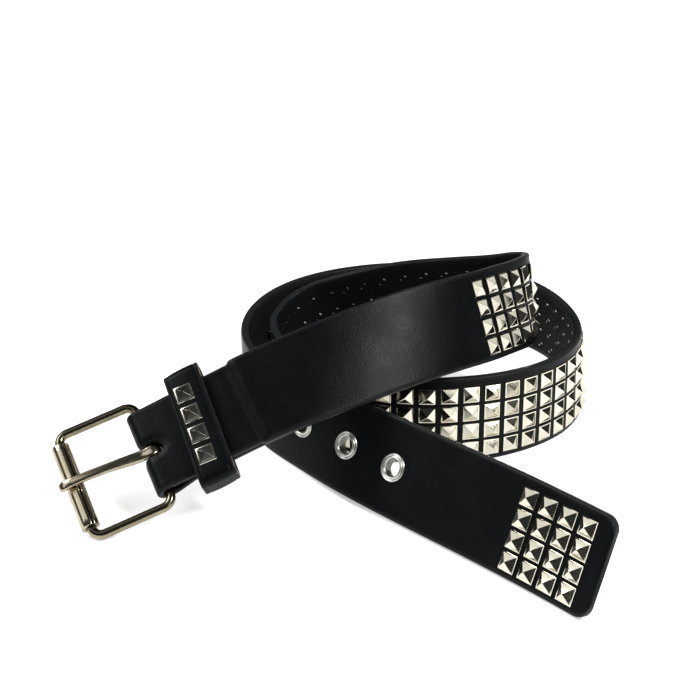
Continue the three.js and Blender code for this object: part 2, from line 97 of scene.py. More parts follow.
# Keeper loop, its skew in degrees
KEEPER_AT = 21.2 * MM
KEEPER_SKEW = 5
KEEPER_WIDTH = 14.6 * MM
KEEPER_WALL = 2 * MM
KEEPER_HEIGHT = 49.4 * MM
KEEPER_ROOM = 2.2 * MM
KEEPER_SHIFT = -0.8 * MM
KEEPER_CORNER = 3.2 * MM
KEEPER_STUD_AT = -1.3 * MM
KEEPER_ROW_PITCH = 9 * MM

GAP = 0.3 * MM
PIVOT_CLEARANCE = 0.3 * MM

# Camera, with its elevation in degrees and its lens and sensor in millimetres. Its aim is counted
# from the spot on the table below the path's start.
CAMERA_DISTANCE = 641.4 * MM
CAMERA_ELEVATION = 24
CAMERA_LENS = 72
CAMERA_SENSOR = 36
CAMERA_AIM = (76.8 * MM, 108.8 * MM, 20 * MM)

# The strap's path. at: share of the strap's length from the fold. heading: the way it runs, in
# degrees turned left from +X. lean: how far its top edge falls back from upright, in degrees.
# lift: height of its lower edge above the table, as a share of the strap's width.
PATH_COLUMNS = ("at", "heading", "lean", "lift")
PATH = [
    dict(zip(PATH_COLUMNS, row))
    for row in (
        (0.0, 15, 55, 0.372),
        (0.058, 18, 49, 0.883),
        (0.118, 33, 35, 1.1),
        (0.158, 50, 24, 1),
        (0.183, 61, 18, 0.9),
        (0.1985, 95, 4, 0.82),
        (0.2135, 163, 2, 0.73),
        (0.2335, 167, 4, 0.66),
        (0.2585, 167, 5, 0.55),
        (0.2935, 172, -1, 0.24),
        (0.3235, 250, -11, 0),
        (0.3535, 285, -8, 0),
        (0.389, 317, -4, 0),
        (0.439, 362, 3, 0),
        (0.489, 400, 1, 0),
        (0.534, 444, 4, 0),
        (0.579, 473, 9, 0),
        (0.629, 520, 11, 0),
        (0.689, 563, 9, 0),
        (0.75, 609, 0, 0),
        (0.8, 642, 0, 0),
        (0.84, 673, 10, 0),
        (0.87, 675, 22, 0),
        (1.0, 670, 22, 0),
    )
]


def clamp(value, low=0.0, high=1.0):
    return max(low, min(high, value))


def mix(a, b, share):
    return a + (b - a) * share


def smooth(value, low, high):
    """Rises softly from 0 at the low value to 1 at the high one."""
    t = clamp((value - low) / (high - low))
    return t * t * (3 - 2 * t)


def hump(distance, width):
    """A bell shape that is 1 at its middle and nearly gone two widths away."""
    return math.exp(-((distance / width) ** 2))


def path_value(column, s):
    """A smooth curve through one column of the path table."""
    share = clamp(s / STRAP_LENGTH)
    last = len(PATH) - 1
    i = 0
    while i < last - 1 and share > PATH[i + 1]["at"]:
        i += 1

    def slope(k):
        return (PATH[k + 1][column] - PATH[k][column]) / (PATH[k + 1]["at"] - PATH[k]["at"])

    def tangent(k):
        if k == 0:
            return slope(0)
        if k == last:
            return slope(last - 1)
        before = PATH[k]["at"] - PATH[k - 1]["at"]
        after = PATH[k + 1]["at"] - PATH[k]["at"]
        return (slope(k - 1) * after + slope(k) * before) / (before + after)

    run = PATH[i + 1]["at"] - PATH[i]["at"]
    t = (share - PATH[i]["at"]) / run
    start = PATH[i][column] * (1 + 2 * t) * (1 - t) ** 2 + tangent(i) * run * t * (1 - t) ** 2
    end = PATH[i + 1][column] * t * t * (3 - 2 * t) - tangent(i + 1) * run * t * t * (1 - t)
    return start + end


def middle_height(s):
    """Height of the strap's middle line, with its lowest corner at the path's lift."""
    lean = math.radians(path_value("lean", s))
    half_rise = (STRAP_WIDTH * math.cos(lean) + STRAP_THICKNESS * abs(math.sin(lean))) / 2
    return max(0.0, path_value("lift", s)) * STRAP_WIDTH + half_rise


class Place:
    """A point with its own directions: along the strap, across it and out of its studded face."""

    def __init__(self, centre, along, across, out):
        self.centre = centre
        self.along = along
        self.across = across
        self.out = out

    def at(self, along=0.0, across=0.0, out=0.0):
        return self.centre + self.along * along + self.across * across + self.out * out

    def moved(self, along=0.0, across=0.0, out=0.0):
        return Place(self.at(along, across, out), self.along, self.across, self.out)


def path_directions(s):
    heading = math.radians(path_value("heading", s))
    lean = math.radians(path_value("lean", s))
    half = PATH_STEP / 2
    inside = clamp(s, half, STRAP_LENGTH - half)
    climb = (middle_height(inside + half) - middle_height(inside - half)) / PATH_STEP
    level = math.sqrt(1 - climb * climb)
    along = Vector((math.cos(heading) * level, math.sin(heading) * level, climb))
    upright = Vector((-math.cos(heading) * climb, -math.sin(heading) * climb, level))
    sideways = Vector((math.sin(heading), -math.cos(heading), 0))
    across = upright * math.cos(lean) - sideways * math.sin(lean)
    out = sideways * math.cos(lean) + upright * math.sin(lean)
    return along, across, out


# The path starts where the fold lies round the heel bar, whose centre the swing joint gives.
skived_middle = SKIVED_THICKNESS / 2 - STRAP_THICKNESS / 2
fold_radius = WIRE / 2 + GAP + SKIVED_THICKNESS / 2
swing = next(joint for joint in frame["joints"] if joint["name"] == "buckle_swing")
unplaced = Place(Vector((0, 0, middle_height(0))), *path_directions(0))
path_start = Vector(swing["pos_m"]) - unplaced.at(out=skived_middle - fold_radius)

path_points = [Vector((path_start.x, path_start.y, 0))]
while (len(path_points) - 1) * PATH_STEP < STRAP_LENGTH + PATH_STEP:
    middle = (len(path_points) - 0.5) * PATH_STEP
    path_points.append(path_points[-1] + path_directions(middle)[0] * PATH_STEP)


def path_place(s):
    i = min(int(s / PATH_STEP), len(path_points) - 2)
    centre = path_points[i].lerp(path_points[i + 1], s / PATH_STEP - i)
    centre.z = middle_height(s)
    return Place(centre, *path_directions(s))


fold_place = path_place(0)
heel_bar = fold_place.moved(out=skived_middle - fold_radius)
tab_offset = SKIVED_THICKNESS + GAP
keeper_edges = (KEEPER_AT - KEEPER_WIDTH / 2, KEEPER_AT + KEEPER_WIDTH / 2)
keeper_slant = math.tan(math.radians(KEEPER_SKEW))
keeper_front = skived_middle + SKIVED_THICKNESS / 2 + KEEPER_ROOM
keeper_back = skived_middle - tab_offset - SKIVED_THICKNESS / 2 - GAP
tip_studs_start = STRAP_LENGTH - TIP_MARGIN - (TIP_COLUMNS - 1) * STUD_PITCH - STUD_SIZE
eyelet_places = [
    tip_studs_start - EYELET_TO_TIP_STUDS - (EYELET_COUNT - 1 - k) * EYELET_PITCH
    for k in range(EYELET_COUNT)
]


def row_middle(row):
    return ROWS_OFFSET + ((ROWS - 1) / 2 - row) * ROW_PITCH


# Camera
camera_data = bpy.data.cameras.new("camera")
camera_data.lens = CAMERA_LENS
camera_data.sensor_width = CAMERA_SENSOR
camera = bpy.data.objects.new("camera", camera_data)
bpy.context.scene.collection.objects.link(camera)
bpy.context.scene.camera = camera
elevation = math.radians(CAMERA_ELEVATION)
aim = Vector((path_start.x, path_start.y, 0)) + Vector(CAMERA_AIM)
camera.location = aim + Vector((0, -math.cos(elevation), math.sin(elevation))) * CAMERA_DISTANCE
camera.rotation_euler = (math.pi / 2 - elevation, 0, 0)


# Materials

# Colours in linear light
LEATHER_DARK = (0.0009, 0.0013, 0.0016)
LEATHER_LIGHT = (0.002, 0.0027, 0.0032)
LEATHER_SPECK = (0.0042, 0.0054, 0.006)
LEATHER_WORN = (0.026, 0.027, 0.028)
LEATHER_BACK = (0.0022, 0.0022, 0.0024)
RAW_DARK = (0.16, 0.11, 0.07)
RAW_LIGHT = (0.34, 0.26, 0.18)
RAW_STAIN = (0.03, 0.025, 0.02)
BRASS_PITS = (0.06, 0.045, 0.03)
# Painted shade on the frame wire where it faces up
BRASS_TOP_SHADE = (0.06, 0.052, 0.036)
TABLE_DARK = (0.90, 0.90, 0.905)
TABLE_LIGHT = (0.93, 0.93, 0.93)

# The table's painted glow, which lights it though it is no lamp and lightens the cast shadows on it,
# weaker on the left, and where along X it changes
PAINTED_GLOW_LEFT = 0.46
PAINTED_GLOW_RIGHT = 0.78
PAINTED_GLOW_FROM = 60 * MM
PAINTED_GLOW_TO = 140 * MM

# The mix node has sockets for each kind of value. These are the numbers of its colour sockets.
MIX_FIRST = 6
MIX_SECOND = 7
MIX_RESULT = 2


class Shader:
    """A material with one Principled shader, and short ways to add nodes to it."""

    def __init__(self, name, **values):
        self.material = bpy.data.materials.new(name)
        self.material.use_nodes = True
        self.tree = self.material.node_tree
        self.surface = self.tree.nodes["Principled BSDF"]
        for socket, value in values.items():
            self.surface.inputs[socket.replace("_", " ")].default_value = value
        self.place = self.add("ShaderNodeTexCoord").outputs["Object"]

    def add(self, kind, **settings):
        node = self.tree.nodes.new(kind)
        for key, value in settings.items():
            setattr(node, key, value)
        return node

    def link(self, source, target):
        self.tree.links.new(source, target)

    def noise(self, size, detail=4.0, roughness=0.55):
        """Cloudy noise with features of about the given size."""
        node = self.add("ShaderNodeTexNoise")
        node.inputs["Scale"].default_value = 1 / size
        node.inputs["Detail"].default_value = detail
        node.inputs["Roughness"].default_value = roughness
        self.link(self.place, node.inputs["Vector"])
        return node.outputs["Fac"]

    def cells(self, size):
        """Cells of about the given size."""
        node = self.add("ShaderNodeTexVoronoi")
        node.inputs["Scale"].default_value = 1 / size
        self.link(self.place, node.inputs["Vector"])
        return node.outputs["Distance"]

    def attribute(self, name):
        return self.add("ShaderNodeAttribute", attribute_name=name).outputs["Fac"]

    def ramp(self, source, low, high, from_low=0.0, from_high=1.0):
        """Goes from low to high while the source goes from from_low to from_high."""
        node = self.add("ShaderNodeMapRange", clamp=True)
        node.inputs["From Min"].default_value = from_low
        node.inputs["From Max"].default_value = from_high
        node.inputs["To Min"].default_value = low
        node.inputs["To Max"].default_value = high
        self.link(source, node.inputs["Value"])
        return node.outputs["Result"]

    def maths(self, operation, first, second):
        node = self.add("ShaderNodeMath", operation=operation)
        for socket, value in zip(node.inputs, (first, second)):
            if isinstance(value, float):
                socket.default_value = value
            else:
                self.link(value, socket)
        return node.outputs[0]

    def mix(self, factor, first, second):
        node = self.add("ShaderNodeMix", data_type="RGBA")
        self.link(factor, node.inputs["Factor"])
        for socket, value in zip((node.inputs[MIX_FIRST], node.inputs[MIX_SECOND]), (first, second)):
            if isinstance(value, tuple):
                socket.default_value = (*value, 1)
            else:
                self.link(value, socket)
        return node.outputs[MIX_RESULT]

    def bump(self, height, distance, strength=1.0, normal=None):
        node = self.add("ShaderNodeBump")
        node.inputs["Distance"].default_value = distance
        node.inputs["Strength"].default_value = strength
        self.link(height, node.inputs["Height"])
        if normal:
            self.link(normal, node.inputs["Normal"])
        return node.outputs["Normal"]

    def finish(self, colour, roughness, normal):
        self.link(colour, self.surface.inputs["Base Color"])
        self.link(roughness, self.surface.inputs["Roughness"])
        self.link(normal, self.surface.inputs["Normal"])
        return self.material


def leather_material():
    """Black finished leather with a fine grain, a paler worn rim and a dull back."""
    shader = Shader("black_leather", Specular_IOR_Level=0.08)
    cloud = shader.noise(16 * MM, detail=6)
    fine = shader.noise(0.8 * MM, detail=5, roughness=0.65)
    face = shader.mix(cloud, LEATHER_DARK, LEATHER_LIGHT)
    speck = shader.ramp(fine, 0, 0.8, 0.52, 0.72)
    face = shader.mix(speck, face, LEATHER_SPECK)
    uneven = shader.ramp(fine, 0.25, 0.8, 0.35, 0.7)
    wear = shader.maths("MULTIPLY", shader.attribute("rim"), uneven)
    face = shader.mix(wear, face, LEATHER_WORN)
    colour = shader.mix(shader.attribute("back"), face, LEATHER_BACK)
    roughness = shader.ramp(cloud, 0.34, 0.44, 0.3, 0.7)
    dull = shader.ramp(shader.attribute("back"), 0, 0.35)
    roughness = shader.maths("ADD", roughness, dull)
    pores = shader.bump(shader.cells(0.75 * MM), 0.05 * MM, 0.8)
    normal = shader.bump(fine, 0.07 * MM, 0.7, pores)
    creases = shader.noise(7 * MM, detail=3)
    normal = shader.bump(creases, 0.2 * MM, 0.5, normal)
    return shader.finish(colour, roughness, normal)


def raw_leather_material():
    """The tan core of the leather, where a cut edge is bare."""
    shader = Shader("raw_leather")
    fine = shader.noise(0.5 * MM, detail=6, roughness=0.7)
    fibres = shader.noise(2.2 * MM, detail=3)
    colour = shader.mix(fibres, RAW_DARK, RAW_LIGHT)
    stain = shader.ramp(shader.noise(5 * MM), 0.8, 0, 0.42, 0.6)
    colour = shader.mix(stain, colour, RAW_STAIN)
    roughness = shader.ramp(fine, 0.75, 0.95)
    return shader.finish(colour, roughness, shader.bump(fine, 0.1 * MM))


def plate_material(name, bright, dark, border, patch, roughness):
    """Plated metal with soft darker patches and fine grit.

    border: the colour of the points marked with it. patch: the size of the patches.
    """
    shader = Shader(name, Metallic=1.0)
    cloud = shader.noise(patch)
    grit = shader.noise(0.3 * MM, roughness=0.7)
    colour = shader.mix(shader.ramp(cloud, 0, 1, 0.3, 0.7), bright, dark)
    colour = shader.mix(shader.ramp(grit, 0, 0.3, 0.66, 0.85), colour, dark)
    colour = shader.mix(shader.attribute("border"), colour, border)
    smear = shader.ramp(cloud, roughness, roughness + 0.04, 0.35, 0.7)
    fleck = shader.ramp(grit, 0, 0.03, 0.55, 0.8)
    normal = shader.bump(shader.noise(6 * MM, detail=1), 0.012 * MM, 0.5)
    normal = shader.bump(grit, 0.001 * MM, 0.2, normal)
    return shader.finish(colour, shader.maths("ADD", smear, fleck), normal)


def brass_material(name, brown, polished):
    """Antique plate: warm where it is polished, browner in patches, with small dark pits."""
    shader = Shader(name, Metallic=1.0)
    cloud = shader.noise(11 * MM, detail=5, roughness=0.6)
    grit = shader.noise(0.35 * MM, detail=5, roughness=0.7)
    worn = shader.ramp(cloud, 0, 1, 0.34, 0.62)
    colour = shader.mix(worn, brown, polished)
    colour = shader.mix(shader.ramp(grit, 0, 0.5, 0.62, 0.78), colour, BRASS_PITS)
    # Painted shade: the wire is darker where it faces up, by its point value
    colour = shader.mix(shader.attribute("tarnish"), colour, BRASS_TOP_SHADE)
    roughness = shader.ramp(cloud, 0.24, 0.15, 0.35, 0.65)
    roughness = shader.maths("ADD", roughness, shader.ramp(grit, 0, 0.08, 0.5, 0.8))
    normal = shader.bump(shader.noise(9 * MM, detail=1), 0.08 * MM, 0.5)
    normal = shader.bump(grit, 0.005 * MM, 0.5, normal)
    return shader.finish(colour, roughness, normal)


def table_material():
    """A pale, slightly mottled matt table with a painted glow like a light table's, stronger to the
    right, that lightens the cast shadows.
    """
    shader = Shader("pale_table")
    cloud = shader.noise(60 * MM)
    colour = shader.mix(cloud, TABLE_DARK, TABLE_LIGHT)
    roughness = shader.ramp(cloud, 0.6, 0.7)
    shader.surface.inputs["Emission Color"].default_value = (1, 1, 1, 1)
    across = shader.add("ShaderNodeSeparateXYZ")
    shader.link(shader.place, across.inputs[0])
    # Painted light: the table glows though it is no lamp, more to the right, lightening the cast
    # shadows there
    painted_glow = shader.ramp(across.outputs["X"], PAINTED_GLOW_LEFT, PAINTED_GLOW_RIGHT, PAINTED_GLOW_FROM, PAINTED_GLOW_TO)
    shader.link(painted_glow, shader.surface.inputs["Emission Strength"])
    return shader.finish(colour, roughness, shader.bump(shader.noise(1.5 * MM), 0.02 * MM))


leather = leather_material()
raw_leather = raw_leather_material()
nickel = plate_material(
    "nickel",
    bright=(0.62, 0.59, 0.48),
    dark=(0.52, 0.495, 0.4),
    border=(0.6, 0.57, 0.47),
    patch=9 * MM,
    roughness=0.08,
)
silver = plate_material(
    "silver",
    bright=(0.58, 0.58, 0.55),
    dark=(0.48, 0.48, 0.45),
    # border: painted shade inside the eyelets' bores
    border=(0.12, 0.12, 0.11),
    patch=6 * MM,
    roughness=0.3,
)
gunmetal = plate_material(
    "gunmetal",
    bright=(0.24, 0.235, 0.215),
    dark=(0.15, 0.147, 0.135),
    border=(0.5, 0.49, 0.42),
    patch=4 * MM,
    roughness=0.2,
)
brass = brass_material("antique_plate", brown=(0.33, 0.285, 0.195), polished=(0.47, 0.42, 0.31))
dark_brass = brass_material("antique_wire", brown=(0.17, 0.145, 0.09), polished=(0.28, 0.245, 0.17))
table_finish = table_material()


# Mesh helpers


class Skin:
    """Points and faces of one piece, with named values on its points."""

    def __init__(self):
        self.points = []
        self.faces = []
        self.shades = []
        self.values = {}

    def point(self, place, **values):
        for name in {**self.values, **values}:
            column = self.values.setdefault(name, [0.0] * len(self.points))
            column.append(values.get(name, 0.0))
        self.points.append(place)
        return len(self.points) - 1

    def face(self, *corners, shade=0):
        self.faces.append(corners)
        self.shades.append(shade)

    def join(self, first, second, shade=0, closed=True):
        """A row of faces between two rings of points. Both go round the same way."""
        count = len(first) if closed else len(first) - 1
        for k in range(count):
            k2 = (k + 1) % len(first)
            self.face(first[k], second[k], second[k2], first[k2], shade=shade)

    def loft(self, rings, closed=False):
        """Joins rings in their order, and closes the ends or joins the last ring to the first."""
        for first, second in zip(rings, rings[1:]):
            self.join(first, second)
        if closed:
            self.join(rings[-1], rings[0])
        else:
            self.face(*rings[0])
            self.face(*reversed(rings[-1]))

    def build(self, name, *materials, sharp=None):
        """Makes the object. sharp: the angle in degrees past which an edge stays crisp."""
        mesh = bpy.data.meshes.new(name)
        mesh.from_pydata([tuple(p) for p in self.points], [], self.faces)
        for material in materials:
            mesh.materials.append(material)
        mesh.polygons.foreach_set("material_index", self.shades)
        for value_name, column in self.values.items():
            attribute = mesh.attributes.new(value_name, "FLOAT", "POINT")
            attribute.data.foreach_set("value", column)
        mesh.shade_smooth()
        if sharp is not None:
            mesh.set_sharp_from_angle(angle=math.radians(sharp))
        mesh.update()
        piece = bpy.data.objects.new(name, mesh)
        bpy.context.scene.collection.objects.link(piece)
        return piece


def declare(piece, body, slot, *nodes):
    """Says what a finished piece rides on and which nodes it is, and hides those nodes. The slot is
    not used.
    """
    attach(piece, body)
    if nodes:
        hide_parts(*nodes)


def turned(profile, sides, place):
    """Rings of a body of revolution about a place's out direction. profile: radius and height."""
    for step in range(sides):
        turn = 2 * math.pi * step / sides
        yield [place.at(r * math.cos(turn), r * math.sin(turn), h) for r, h in profile]


def arc(centre_x, centre_y, radius, start, end, steps):
    """Points of an arc, with the angles in degrees."""
    for k in range(steps + 1):
        turn = math.radians(mix(start, end, k / steps))
        yield centre_x + radius * math.cos(turn), centre_y + radius * math.sin(turn)


# Strap

# Spans across a section, distance between sections, and sections of the tab, the fold and the tip.
# The last section lies just short of the tip.
FACE_SPANS = 34
BACK_SPANS = 14
CORNER_STEPS = 4
STATION_STEP = 1.6 * MM
TAB_STEPS = 36
FOLD_STEPS = 22
TIP_STEPS = 9
TIP_END = 0.02 * MM

# How wide the worn edge is, the power by which it fades, and the largest radius of the rounded
# edge as a share of the thickness
WORN_WIDTH = 1.3 * MM
WORN_FADE = 0.7
MOST_ROUNDING = 0.45

# The face's relief. The ridge and the trough are placed along the strap from the shoulder's end.
LONG_WAVE_HEIGHT = 0.16 * MM
LONG_WAVE_LENGTH = 24 * MM
SHORT_WAVE_HEIGHT = 0.05 * MM
SHORT_WAVE_LENGTH = 8 * MM
RIDGE_HEIGHT = 0.5 * MM
RIDGE_AT = 1.6 * MM
RIDGE_WIDTH = 2 * MM
TROUGH_DEPTH = 0.42 * MM
TROUGH_AT = -3.2 * MM
TROUGH_WIDTH = 1.6 * MM
SLOT_ROUNDING = 0.6 * MM
SLOT_ROUNDING_WIDTH = 1.3 * MM
FLAT_AT_EYELET = 6 * MM
WAVY_FROM_EYELET = 14 * MM

# Cutters. The slant is how far the slot grows shorter for each unit of depth.
SLOT_SLANT = 0.16
SLOT_STEPS = 16
HOLE_SIDES = 24

# An edge bent by more degrees than this stays crisp. Heights this close count as the same.
LEATHER_CREASE = 50
TOUCHING = 1e-9


def strap_outline(half_width, inner, outer):
    """Points round a section as across, out, rim and back.

    rim rises to 1 at the edges, and back is 1 on the side away from the studs.
    """
    radius = min(EDGE_RADIUS, (outer - inner) * MOST_ROUNDING)
    flat = half_width - radius
    outline = []

    def add_corner(x, y, start):
        for px, py in arc(x, y, radius, start, start - 90, CORNER_STEPS):
            outline.append((px, py, 0.0))

    for k in range(FACE_SPANS + 1):
        outline.append((mix(-flat, flat, k / FACE_SPANS), outer, 0.0))
    add_corner(flat, outer - radius, 90)
    add_corner(flat, inner + radius, 0)
    for k in range(1, BACK_SPANS):
        outline.append((mix(flat, -flat, k / BACK_SPANS), inner, 1.0))
    add_corner(-flat, inner + radius, 270)
    add_corner(-flat, outer - radius, 180)
    for x, y, back in outline[1:-1]:
        from_edge = half_width - abs(x)
        yield x, y, clamp(1 - from_edge / WORN_WIDTH) ** WORN_FADE, back


def relief(s, across):
    """Low waves of the leather's face, the step at the shoulder and the rounding into the slot."""
    spot = Vector((s, across, 0))
    waves = LONG_WAVE_HEIGHT * noise.noise(spot / LONG_WAVE_LENGTH)
    waves += SHORT_WAVE_HEIGHT * noise.noise(spot / SHORT_WAVE_LENGTH)
    past_shoulder = s - SHOULDER_AT - SHOULDER_RUN
    ridge = RIDGE_HEIGHT * hump(past_shoulder - RIDGE_AT, RIDGE_WIDTH)
    trough = TROUGH_DEPTH * hump(past_shoulder - TROUGH_AT, TROUGH_WIDTH)
    reach = max(0.0, s - (SLOT_REACH - SLOT_WIDTH / 2))
    from_slot = math.hypot(reach, across) - SLOT_WIDTH / 2
    rounding = SLOT_ROUNDING * hump(from_slot, SLOT_ROUNDING_WIDTH)
    from_eyelet = min(math.hypot(s - eyelet_s, across) for eyelet_s in eyelet_places)
    wavy = smooth(from_eyelet, FLAT_AT_EYELET, WAVY_FROM_EYELET)
    return waves * wavy + ridge - trough - rounding


def strap_section(s):
    full = smooth(s, SHOULDER_AT, SHOULDER_AT + SHOULDER_RUN)
    into_tip = max(0.0, s - (STRAP_LENGTH - TIP_CORNER_RADIUS))
    corner_cut = TIP_CORNER_RADIUS - math.sqrt(TIP_CORNER_RADIUS**2 - into_tip**2)
    into_edge = max(0.0, s - (STRAP_LENGTH - EDGE_RADIUS))
    edge_cut = EDGE_RADIUS - math.sqrt(max(0.0, EDGE_RADIUS**2 - into_edge**2))
    half_width = mix(SKIVED_WIDTH, STRAP_WIDTH, full) / 2 - corner_cut
    inner = -STRAP_THICKNESS / 2 + edge_cut
    outer = mix(SKIVED_THICKNESS, STRAP_THICKNESS, full) - STRAP_THICKNESS / 2 - edge_cut
    return path_place(s), half_width, inner, outer


def folded_section(place):
    return place, SKIVED_WIDTH / 2, -SKIVED_THICKNESS / 2, SKIVED_THICKNESS / 2


def tab_section(s):
    """The folded-back tab lies behind the strap and runs the other way."""
    front = path_place(s)
    opened = 2 * fold_radius - tab_offset
    behind = skived_middle - tab_offset - opened * (1 - smooth(s, 0, keeper_edges[0]))
    centre = front.at(out=behind)
    return folded_section(Place(centre, -front.along, front.across, -front.out))


def fold_section(turn):
    """The fold at a turn in radians from the strap's front to its tab."""
    out = heel_bar.out * math.cos(turn) - heel_bar.along * math.sin(turn)
    along = heel_bar.along * math.cos(turn) + heel_bar.out * math.sin(turn)
    centre = heel_bar.centre + out * fold_radius
    return folded_section(Place(centre, along, heel_bar.across, out))


def strap_stations():
    """Distances from the fold at which the strap has a section, closer together in the tip."""
    count = round((STRAP_LENGTH - TIP_CORNER_RADIUS) / STATION_STEP)
    for k in range(count):
        yield (STRAP_LENGTH - TIP_CORNER_RADIUS) * k / count
    for k in range(TIP_STEPS):
        turn = math.pi / 2 * k / TIP_STEPS
        yield STRAP_LENGTH - TIP_CORNER_RADIUS * (1 - math.sin(turn))
    yield STRAP_LENGTH - TIP_END


def slot_cutter():
    """A block with one round end that clears the slot. It reaches less far through the tab."""
    fold_outer = fold_radius + SKIVED_THICKNESS
    depth = 2 * fold_outer
    half = SLOT_WIDTH / 2
    rings = []
    for h in (-depth, depth):
        end = SLOT_REACH + SLOT_SLANT * (h - fold_radius) - half
        outline = [(-fold_outer, half), (-fold_outer, -half)]
        outline += arc(end, 0, half, -90, 90, SLOT_STEPS)
        rings.append([heel_bar.at(x, y, h) for x, y in outline])
    return rings


def hole_cutter(s):
    """A column that clears an eyelet's hole."""
    place = path_place(s)
    last_turn = 360 - 360 / HOLE_SIDES
    circle = list(arc(0, 0, EYELET_BARREL / 2 + GAP, 0, last_turn, HOLE_SIDES - 1))
    depth = 1.5 * STRAP_THICKNESS
    return [[place.at(x, y, h) for x, y in circle] for h in (-depth, depth)]


def cut(piece, cutters):
    """Cuts closed columns, each given as two rings of points, out of a piece."""
    skin = Skin()
    for rings in cutters:
        skin.loft([[skin.point(p) for p in reversed(ring)] for ring in rings])
    tool = skin.build("cutter")
    modifier = piece.modifiers.new("holes", "BOOLEAN")
    modifier.operation = "DIFFERENCE"
    modifier.solver = "EXACT"
    modifier.object = tool
    graph = bpy.context.evaluated_depsgraph_get()
    mesh = bpy.data.meshes.new_from_object(piece.evaluated_get(graph))
    piece.modifiers.clear()
    piece.data = mesh
    bpy.data.objects.remove(tool)


def make_strap():
    """One skin over the tab, the fold and the strap, with the slot and the eyelets' holes cut out."""
    sections = []
    for k in range(TAB_STEPS):
        sections.append((None, tab_section(TAB_LENGTH * (1 - k / TAB_STEPS))))
    for k in range(FOLD_STEPS):
        turn = math.pi * (1 - k / FOLD_STEPS)
        sections.append((-turn * fold_radius, fold_section(turn)))
    for s in strap_stations():
        sections.append((s, strap_section(s)))
    skin = Skin()
    rings = []
    for s, (place, half_width, inner, outer) in sections:
        ring = []
        for across, out, rim, back in strap_outline(half_width, inner, outer):
            off_edge = abs(across) <= half_width - 2 * EDGE_RADIUS
            on_face = s is not None and off_edge and out >= outer - TOUCHING
            lifted = relief(s, across) if on_face else 0.0
            ring.append(skin.point(place.at(0, across, out + lifted), rim=rim, back=back))
        rings.append(ring)
    skin.loft(rings)
    strap = skin.build("strap_leather", leather)
    cut(strap, [slot_cutter(), *[hole_cutter(s) for s in eyelet_places]])
    strap.data.set_sharp_from_angle(angle=math.radians(LEATHER_CREASE))
    return strap


declare(make_strap(), "belt", "leather", "strap")


# Studs

# The pressed cap. The sharpness is the share of the way to its middle that its sides run before
# they end in a blunt point.
STUD_BORDER = 0.5 * MM
STUD_BORDER_ROUNDING = 0.16 * MM
STUD_TOP = 2.6 * MM
STUD_BULGE = 0.04
STUD_CHAMFER = 0.1 * MM
STUD_LEVELS = 4
STUD_SHARPNESS = 0.96
STUD_CREASE = 20

# How far hand-set studs are askew, in degrees, and how far they sit in the leather or stand off it.
# They spin by a share of that.
FIELD_TILT = 0.8
SINGLE_TILT = 0.5
SPIN_SHARE = 0.8
FIELD_SINK = 0.05 * MM
TIP_STUD_LIFT = 0.05 * MM
KEEPER_STUD_LIFT = 0.12 * MM

# The two legs behind a stud. Turns are in radians, chance spread and rise in millimetres.
LEG_WIDTH = 0.55 * MM
LEG_LENGTH = 1.1 * MM
LEG_THICKNESS = 0.3 * MM
LEG_TURN = 0.5
LEG_TURN_SPREAD = 0.35
LEG_ALONG = 1.35 * MM
LEG_ACROSS = 0.8 * MM
LEG_SPREAD = 0.2
LEG_LEAST_RISE = 0.02
LEG_MOST_RISE = 0.16
LEG_TILT = 0.08 * MM

# Seeds of the chance tilts
FIELD_SEED = 7
TIP_SEED = 11
KEEPER_SEED = 5


def add_stud(skin, place):
    """A pressed pyramid with slightly bulging sides and a flat border, based on the place's plane."""
    half = STUD_SIZE / 2
    inside = half - STUD_BORDER
    foot = STUD_RIM * 1.1
    levels = [
        (half, 0.0, 1),
        (half, STUD_RIM * 0.6, 1),
        (half - STUD_BORDER_ROUNDING, STUD_RIM * 0.98, 1),
        (inside, foot, 1),
    ]
    for k in range(1, STUD_LEVELS + 1):
        share = STUD_SHARPNESS * k / STUD_LEVELS
        risen = share + STUD_BULGE * share * (1 - share)
        levels.append((inside * (1 - share), mix(foot, STUD_TOP, risen), 0))
    rings = []
    for reach, out, border in levels:
        near = reach - min(STUD_CHAMFER, reach * 0.4)
        corners = [
            (reach, -near), (reach, near), (near, reach), (-near, reach),
            (-reach, near), (-reach, -near), (-near, -reach), (near, -reach),
        ]
        rings.append([skin.point(place.at(x, y, out), border=border) for x, y in corners])
    for first, second in zip(rings, rings[1:]):
        skin.join(second, first)
    top = skin.point(place.at(0, 0, STUD_TOP))
    last = rings[-1]
    for k in range(len(last)):
        skin.face(last[k], last[(k + 1) % len(last)], top)
    skin.face(*reversed(rings[0]))


def add_legs(skin, place, chance):
    """Two bent legs that clench a stud on the strap's back, sunk a little into it."""
    for side in (-1, 1):
        turn = chance.uniform(-LEG_TURN_SPREAD, LEG_TURN_SPREAD) + LEG_TURN
        middle_x = side * LEG_ALONG + chance.uniform(-LEG_SPREAD, LEG_SPREAD) * MM
        middle_y = -side * LEG_ACROSS + chance.uniform(-LEG_SPREAD, LEG_SPREAD) * MM
        rise = chance.uniform(LEG_LEAST_RISE, LEG_MOST_RISE) * MM
        low = []
        high = []
        for x, y in ((-1, -1), (1, -1), (1, 1), (-1, 1)):
            along = x * LEG_LENGTH / 2
            across = y * LEG_WIDTH / 2
            px = middle_x + along * math.cos(turn) - across * math.sin(turn)
            py = middle_y + along * math.sin(turn) + across * math.cos(turn)
            out = LEG_TILT * x * side - rise
            low.append(skin.point(place.at(px, py, out)))
            high.append(skin.point(place.at(px, py, out + LEG_THICKNESS)))
        skin.join(high, low)
        skin.face(*high)
        skin.face(*reversed(low))


